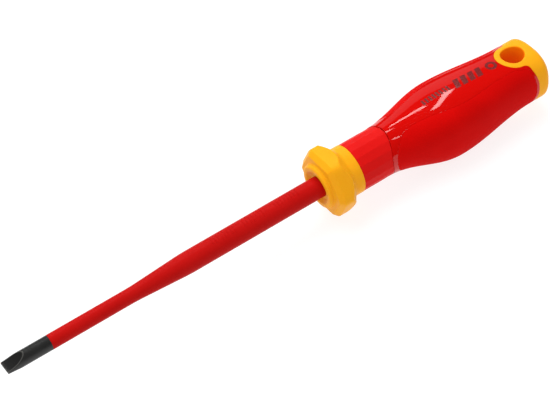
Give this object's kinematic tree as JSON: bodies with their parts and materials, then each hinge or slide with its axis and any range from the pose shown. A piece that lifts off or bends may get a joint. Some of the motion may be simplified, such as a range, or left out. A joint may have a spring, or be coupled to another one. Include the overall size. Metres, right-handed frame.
{
  "type": "insulated slotted screwdriver",
  "caption": "Slotted screwdriver for live work: insulated blade, hexagonal anti-roll guard, two-colour handle with soft side pads and a hanging hole.",
  "frame": {"origin": "on the tool's axis, in the middle of the slot tip's end face", "axes": "+X along the axis from the slot tip to the butt, +Z along the hanging hole and out of the handle's top face, +Y towards the left grip pad"},
  "size_m": [0.2226, 0.0274, 0.0273],
  "materials": {
    "black_steel": "blackened, satin",
    "sleeve_red": "satin",
    "core_yellow": "satin",
    "neck_red": "satin",
    "shell_red": "gloss",
    "pad_red": "matt, soft"
  },
  "bodies": {
    "root": {"blade": "black_steel", "blade_insulation": "sleeve_red", "handle_core": "core_yellow", "neck_grip": "neck_red", "grip_shell": "shell_red", "side_pad_left": "pad_red", "side_pad_right": "pad_red"}
  },
  "joints": []
}
